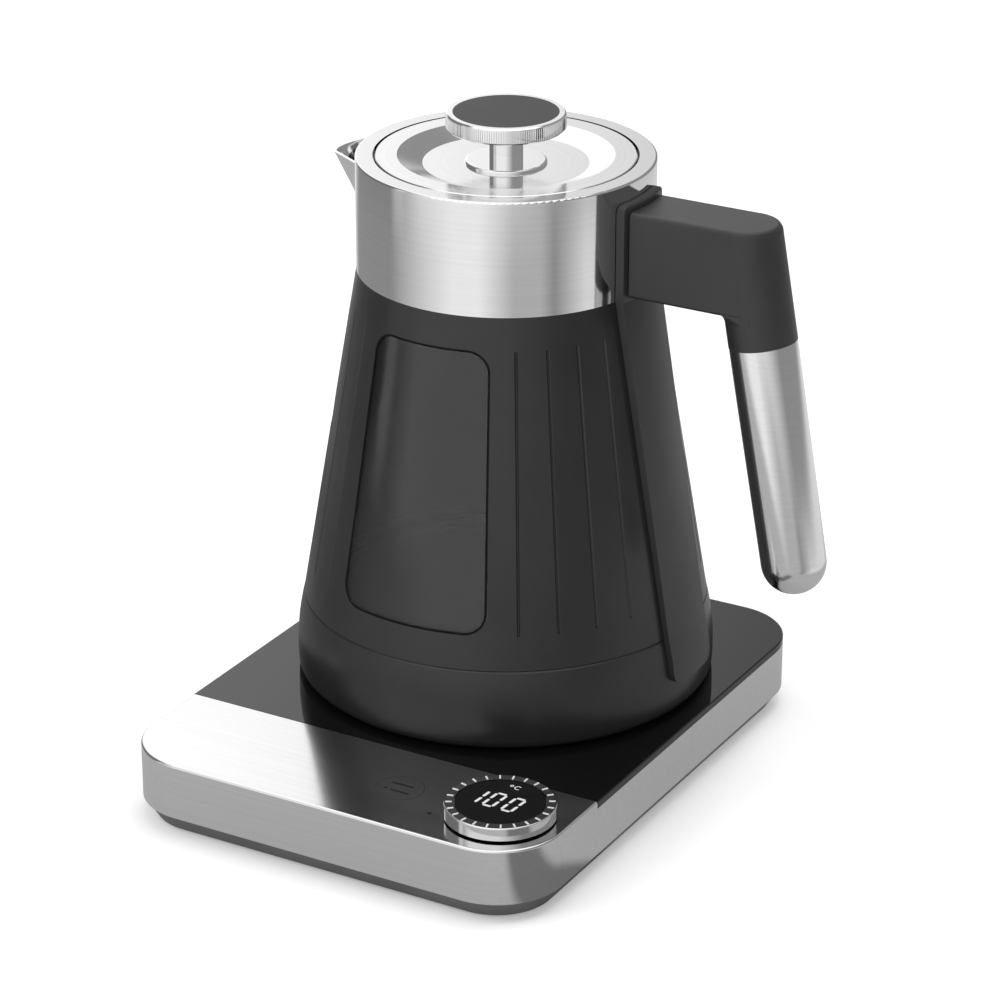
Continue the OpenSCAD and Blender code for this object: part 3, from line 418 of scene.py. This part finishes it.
def add_softbox(name, place, target, size, power):
    """A square area lamp, unseen by the camera."""
    data = bpy.data.lights.new(name, "AREA")
    data.shape = "SQUARE"
    data.size = size
    data.energy = power
    lamp = bpy.data.objects.new(name, data)
    lamp.location = place
    lamp.rotation_euler = (Vector(target) - Vector(place)).to_track_quat("-Z", "Y").to_euler()
    lamp.visible_camera = False
    lamp.visible_glossy = False
    bpy.context.scene.collection.objects.link(lamp)


# Name, place, size and power of each lamp; both point at the same height on the axis.
SOFTBOXES = (("key_softbox", (-1.1, -1.2, 1.7), 1.4, 16), ("top_softbox", (0.2, 0.5, 2.0), 1.6, 18))
LAMP_TARGET = (0, 0, 0.1)


def add_lights():
    add_world()
    for name, place, size, power in SOFTBOXES:
        add_softbox(name, place, LAMP_TARGET, size, power)


add_floor()
add_lights()

# ---------------------------------------------------------------- finishes

DIAL_AT = (0.0615, -0.112, 0.0)


def make_finishes():
    """One finish for each material slot of the record."""
    round_body = (26, 26, 2600)
    finishes = {
        "shell_steel": steel("shell_steel", 0.78, 0.13, straight((14, 1700, 1700)), 0.04),
        "collar_steel": steel("collar_steel", 0.80, 0.08, straight(round_body), 0.02),
        "grip_steel": steel("grip_steel", 0.80, 0.12, straight((300, 300, 2600)), 0.10),
        "cap_steel": steel("cap_steel", 0.78, 0.12, straight((300, 300, 2600)), 0.05),
        "lid_steel": steel("lid_steel", 0.86, 0.13, turned(), 0.10),
        "knob_steel": steel("knob_steel", 0.90, 0.05, turned(), 0.02),
        "dial_steel": steel("dial_steel", 0.82, 0.09, turned(DIAL_AT, 2200.0), 0.06),
        "floor_steel": steel("floor_steel", 0.72, 0.2, turned(), 0.12),
        "strainer_steel": steel("strainer_steel", 0.7, 0.28, straight(round_body), 0.2),
        "zinc_steel": steel("zinc_steel", 0.62, 0.35, turned(), 0.15),
        "element_steel": steel("element_steel", 0.40, 0.45, turned(), 0.2),
        "heat_aluminium": steel("heat_aluminium", 0.75, 0.4, turned(), 0.3),
        "pad_metal": steel("pad_metal", 0.7, 0.35, straight((30, 1500, 1500)), 0.2),
        "contact_brass": brass(),
        "glass_black": black_glass(),
        "jug_glass": clear_glass(),
        "pane_smoke": smoked_pane(),
        "dial_black": moulded("dial_black", 0.008, 0.08, 400.0, 0.02, 0.05),
        "print_white": moulded("print_white", 0.82, 0.45, 3000.0, 0.1),
        "jacket_black": moulded("jacket_black", 0.018, 0.30, 4200.0, 0.05, 0.05),
        "body_black": moulded("body_black", 0.018, 0.30, 4200.0, 0.05, 0.05),
        "handle_black": moulded("handle_black", 0.028, 0.40, 3200.0, 0.25, 0.08),
        "inlay_black": moulded("inlay_black", 0.020, 0.5, 2600.0, 0.6, 0.08),
        "pan_plastic": moulded("pan_plastic", 0.10, 0.5),
        "foot_rubber": moulded("foot_rubber", 0.008, 0.75, 1800.0, 0.3, Specular_IOR_Level=0.08),
        "frame_plastic": moulded("frame_plastic", 0.2, 0.5),
        "coupler_black": moulded("coupler_black", 0.025, 0.42),
        "core_plastic": moulded("core_plastic", 0.3, 0.55),
        "lid_plastic": moulded("lid_plastic", 0.16, 0.5),
        "seal_rubber": moulded("seal_rubber", 0.42, 0.6, 2000.0, 0.2),
        "ceramic_white": moulded("ceramic_white", 0.72, 0.55, tint=(1, 0.98, 0.92)),
        "board_green": moulded("board_green", 0.22, 0.35, tint=(0.2, 1.0, 0.4)),
        "led_clear": moulded("led_clear", 0.02, 0.2, 900.0, 0.05),
    }
    return finishes


def brass():
    material, tree, shader = new_material("contact_brass", (0.80, 0.62, 0.28), 1.0, 0.25)
    position = object_position(tree)
    wear(tree, shader, position, 0.25, 0.15)
    bump(tree, shader, turned()(tree, position).outputs["Height"], 0.1, 0.00002)
    return material


def glassy(name, colour, plain_roughness, worn_roughness, marks, **plain):
    """A clear or glossy finish that shows only handling marks."""
    material, tree, shader = new_material(name, colour, 0.0, plain_roughness, **plain)
    wear(tree, shader, object_position(tree), worn_roughness, marks)
    return material


def black_glass():
    """Glass with a black print behind it: only its face gives light back."""
    return glassy("glass_black", grey(0.004), 0.03, 0.035, 0.05, IOR=1.5)


def clear_glass():
    return glassy("jug_glass", (0.93, 0.95, 0.95), 0.02, 0.02, 0.03, IOR=1.47, Transmission_Weight=1.0)


def smoked_pane():
    """Dark tinted plastic that fills the jacket's window."""
    return glassy("pane_smoke", (0.42, 0.42, 0.43), 0.06, 0.04, 0.03, IOR=1.5, Transmission_Weight=1.0)


FINISH = make_finishes()


def dress_cad_nodes():
    """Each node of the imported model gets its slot's finish."""
    for part in frame["record"]["subparts"]:
        mesh = frame["nodes"][part["node"]].data
        if not mesh.materials:
            mesh.materials.append(None)
        for index in range(len(mesh.materials)):
            mesh.materials[index] = FINISH[part["material_slot"]]


dress_cad_nodes()

# ---------------------------------------------------------------- small pieces


def finish_piece(name, work, slot, body, smooth=False):
    """Turns a bmesh into an object with a finish, riding on a body."""
    bmesh.ops.remove_doubles(work, verts=work.verts, dist=0.000001)
    bmesh.ops.recalc_face_normals(work, faces=work.faces)
    if not work.faces:
        raise ValueError(f"{name} has no faces")
    mesh = bpy.data.meshes.new(name)
    work.to_mesh(mesh)
    work.free()
    mesh.materials.append(FINISH[slot])
    if smooth:
        mesh.shade_smooth()
    piece = bpy.data.objects.new(name, mesh)
    bpy.context.scene.collection.objects.link(piece)
    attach(piece, body)


def bar(work, length, width, height, place, turn=0.0):
    """A flat bar with clipped corners, made at the origin and then placed."""
    made = bmesh.ops.create_grid(work, x_segments=1, y_segments=1, size=0.5)
    verts = made["verts"]
    bmesh.ops.scale(work, vec=(length, width, 1), verts=verts)
    clipped = bmesh.ops.bevel(work, geom=verts, affect="VERTICES", offset=0.35 * width, segments=1,
                              profile=0.5, material=-1)
    faces = list({face for vert in clipped["verts"] for face in vert.link_faces})
    lifted = bmesh.ops.extrude_face_region(work, geom=faces)
    top = [item for item in lifted["geom"] if isinstance(item, bmesh.types.BMVert)]
    bmesh.ops.translate(work, verts=top, vec=(0, 0, height))
    shape = list({vert for face in faces for vert in face.verts} | set(top))
    bmesh.ops.transform(work, matrix=Matrix.Translation(place) @ Matrix.Rotation(turn, 4, "Z"), verts=shape)
    return shape


# The readout's digits lean a little and show the boiling point.
DISPLAY_TOP = 34.6 * MM
DIGIT_TALL = 10.0 * MM
DIGIT_WIDE = 3.9 * MM
DIGIT_BAR = 1.1 * MM
DIGIT_LEAN = 0.08
DIGIT_GAP = 0.9 * MM
LIT_HEIGHT = 0.05 * MM
SUNK = 0.01 * MM
DIGITS_AT = ((-9.3, 0.0, "1"), (-2.4, 0.2, "0"), (5.2, 0.1, "0"))
LIT_BARS = {"0": ("top", "bottom", "left_up", "left_down", "right_up", "right_down"),
            "1": ("right_up", "right_down")}


def add_digit(work, x, y, lit):
    """One digit of upright and level bars, sheared round its own middle."""
    upright = DIGIT_TALL / 2 - DIGIT_GAP
    level = DIGIT_WIDE - DIGIT_GAP / 2
    places = {
        "top": (0, DIGIT_TALL / 2, level, 0), "bottom": (0, -DIGIT_TALL / 2, level, 0),
        "left_up": (-DIGIT_WIDE / 2, DIGIT_TALL / 4, upright, math.pi / 2),
        "left_down": (-DIGIT_WIDE / 2, -DIGIT_TALL / 4, upright, math.pi / 2),
        "right_up": (DIGIT_WIDE / 2, DIGIT_TALL / 4, upright, math.pi / 2),
        "right_down": (DIGIT_WIDE / 2, -DIGIT_TALL / 4, upright, math.pi / 2)}
    lean = Matrix(((1, DIGIT_LEAN, 0, 0), (0, 1, 0, 0), (0, 0, 1, 0), (0, 0, 0, 1)))
    for name in LIT_BARS[lit]:
        across, up, length, turn = places[name]
        shape = bar(work, length, DIGIT_BAR, LIT_HEIGHT, (across, up, 0), turn)
        bmesh.ops.transform(work, matrix=Matrix.Translation((x * MM, y * MM, 0)) @ lean, verts=shape)


def add_readout():
    work = bmesh.new()
    for x, y, lit in DIGITS_AT:
        add_digit(work, x, y, lit)
    bmesh.ops.translate(work, verts=work.verts, vec=(DIAL_AT[0], DIAL_AT[1], DISPLAY_TOP - SUNK))
    finish_piece("readout_digits", work, "print_white", "dial_press")


def add_arc(work, radius, line, height, centre, start, sweep, steps):
    """A flat ring, or part of one, from a small rectangle swept round its centre."""
    made = bmesh.ops.create_grid(work, x_segments=1, y_segments=1, size=0.5)
    verts = made["verts"]
    bmesh.ops.scale(work, vec=(line, height, 1), verts=verts)
    bmesh.ops.transform(work, verts=verts, matrix=Matrix.Rotation(start, 4, "Z")
                        @ Matrix.Translation((radius, 0, height / 2)) @ Matrix.Rotation(math.pi / 2, 4, "X"))
    faces = list({face for vert in verts for face in vert.link_faces})
    full = abs(sweep) > 2 * math.pi - 0.001
    bmesh.ops.spin(work, geom=faces + list({e for f in faces for e in f.edges}) + verts, cent=(0, 0, 0),
                   axis=(0, 0, 1), angle=sweep, steps=steps, use_merge=full)
    shape = [vert for vert in work.verts if not vert.tag]
    bmesh.ops.translate(work, verts=shape, vec=centre)
    for vert in work.verts:
        vert.tag = True


UNIT_LINE = 0.36 * MM
UNIT_RING = 0.55 * MM
UNIT_LETTER = 1.15 * MM
DEGREE_AT = (-2.2 * MM, 12.3 * MM, 0)
LETTER_AT = (0.5 * MM, 11.8 * MM, 0)
LETTER_START = math.radians(50)
LETTER_SWEEP = math.radians(260)


def add_unit():
    """The degree ring and letter of the Celsius unit above the digits."""
    work = bmesh.new()
    add_arc(work, UNIT_RING, UNIT_LINE, LIT_HEIGHT, DEGREE_AT, 0.0, 2 * math.pi, 24)
    add_arc(work, UNIT_LETTER, UNIT_LINE, LIT_HEIGHT, LETTER_AT, LETTER_START, LETTER_SWEEP, 26)
    bmesh.ops.translate(work, verts=work.verts, vec=(DIAL_AT[0], DIAL_AT[1], DISPLAY_TOP - SUNK))
    finish_piece("readout_unit", work, "print_white", "dial_press")


TOUCH_AT = (20.0 * MM, -112.0 * MM)
TOUCH_RING = 8.9 * MM
TOUCH_LINE = 0.15 * MM
TOUCH_BAR = 1.2 * MM
TOUCH_BARS = ((-0.3, 2.7, 9.1), (1.2, -2.4, 7.8), (-4.8, -1.9, 1.5))


def add_touch_mark():
    """A printed ring with two bars and a dot over the touch sensor."""
    work = bmesh.new()
    add_arc(work, TOUCH_RING, TOUCH_LINE, LIT_HEIGHT, (0, 0, 0), 0.0, 2 * math.pi, 72)
    for x, y, length in TOUCH_BARS:
        bar(work, length * MM, TOUCH_BAR, LIT_HEIGHT, (x * MM, y * MM, 0))
    bmesh.ops.translate(work, verts=work.verts, vec=(TOUCH_AT[0], TOUCH_AT[1], GLASS_TOP - SUNK))
    finish_piece("touch_mark", work, "body_black", "base")


KNOB_R = 21.8 * MM
RIB_COUNT = 160
RIB_SIZE = (0.5 * MM, 0.46 * MM, 4.6 * MM)
RIB_MIDDLE = 245.1 * MM
RIB_EDGE = 0.12 * MM
RIB_SINK = 0.1 * MM


def add_knob_ribs():
    """Fine upright ribs round the lid knob's edge."""
    work = bmesh.new()
    verts = bmesh.ops.create_cube(work, size=1.0)["verts"]
    bmesh.ops.scale(work, vec=RIB_SIZE, verts=verts)
    upright = [edge for edge in work.edges if abs(edge.verts[0].co.z - edge.verts[1].co.z) > MM]
    bmesh.ops.bevel(work, geom=upright, affect="EDGES", offset=RIB_EDGE, segments=1, profile=0.5,
                    material=-1)
    bmesh.ops.translate(work, verts=work.verts, vec=(KNOB_R - RIB_SINK, 0, RIB_MIDDLE))
    bmesh.ops.spin(work, geom=work.verts[:] + work.edges[:] + work.faces[:], cent=(0, 0, 0),
                   axis=(0, 0, 1), angle=2 * math.pi * (RIB_COUNT - 1) / RIB_COUNT, steps=RIB_COUNT - 1,
                   use_duplicate=True)
    finish_piece("knob_ribs", work, "knob_steel", "lid")


# The window's outline, seen from the front, and the cone that it lies on.
WINDOW_LOW = (30.2 * MM, 73.3 * MM)
WINDOW_HIGH = (23.15 * MM, 177.0 * MM)
WINDOW_ROUND = 8.0 * MM
SEAM_HEIGHT = 60.0 * MM
JACKET_R = 76.53 * MM
JACKET_TAPER = 0.1666
# Painted shade: a thin matte black strip round the window, in place of the shadow in the gap between pane and
# jacket.
GAP_SHADE_LINE = 0.75 * MM
GAP_SHADE_WALL = 0.25 * MM
GAP_SHADE_PROUD = 0.10 * MM
GAP_SHADE_SPREAD = (1.008, 1, 1.0025)
GAP_SHADE_PIVOT = 0.125
GAP_SHADE_CUTS = 24
LONG_EDGE = 10 * MM


def add_window_gap_shade():
    """A black rubber strip of painted shade round the window's edge, standing for the shadow gap between the
    pane and the jacket.
    """
    work = bmesh.new()
    corners = [work.verts.new((side * wide, 0, high)) for side, (wide, high) in
               ((-1, WINDOW_LOW), (1, WINDOW_LOW), (1, WINDOW_HIGH), (-1, WINDOW_HIGH))]
    work.faces.new(corners)
    bmesh.ops.bevel(work, geom=corners, affect="VERTICES", offset=WINDOW_ROUND, segments=10, profile=0.5,
                    material=-1)
    bmesh.ops.scale(work, vec=GAP_SHADE_SPREAD, verts=work.verts,
                    space=Matrix.Translation((0, 0, -GAP_SHADE_PIVOT)))
    inner = bmesh.ops.inset_region(work, faces=work.faces[:], thickness=GAP_SHADE_LINE, use_boundary=True,
                                   use_even_offset=True)
    rim = set(inner["faces"])
    bmesh.ops.delete(work, geom=[face for face in work.faces if face not in rim], context="FACES")
    long_edges = [edge for edge in work.edges if edge.calc_length() > LONG_EDGE]
    bmesh.ops.subdivide_edges(work, edges=long_edges, cuts=GAP_SHADE_CUTS, use_grid_fill=True)
    for vert in work.verts:
        radius = JACKET_R - (vert.co.z - SEAM_HEIGHT) * JACKET_TAPER + GAP_SHADE_PROUD
        vert.co.y = -math.sqrt(radius * radius - vert.co.x * vert.co.x)
    bmesh.ops.recalc_face_normals(work, faces=work.faces)
    bmesh.ops.solidify(work, geom=work.faces[:], thickness=GAP_SHADE_WALL)
    finish_piece("window_gap_shade", work, "foot_rubber", "kettle")


BEAD_RINGS = ((61.0 * MM, 2.2 * MM), (66.4 * MM, 0.9 * MM))
JUG_FLOOR = 60.2 * MM


def add_floor_beads():
    """Two polished beads pressed into the jug's steel floor."""
    work = bmesh.new()
    for radius, bead in BEAD_RINGS:
        made = bmesh.ops.create_circle(work, segments=16, radius=bead, cap_ends=False)
        verts = made["verts"]
        edges = list({edge for vert in verts for edge in vert.link_edges})
        bmesh.ops.transform(work, verts=verts, matrix=Matrix.Translation((radius, 0, JUG_FLOOR))
                            @ Matrix.Rotation(math.pi / 2, 4, "X"))
        bmesh.ops.spin(work, geom=edges + verts, cent=(0, 0, 0), axis=(0, 0, 1), angle=2 * math.pi,
                       steps=120, use_merge=True)
    finish_piece("floor_beads", work, "knob_steel", "kettle", smooth=True)


add_readout()
add_unit()
add_touch_mark()
add_knob_ribs()
add_window_gap_shade()
add_floor_beads()
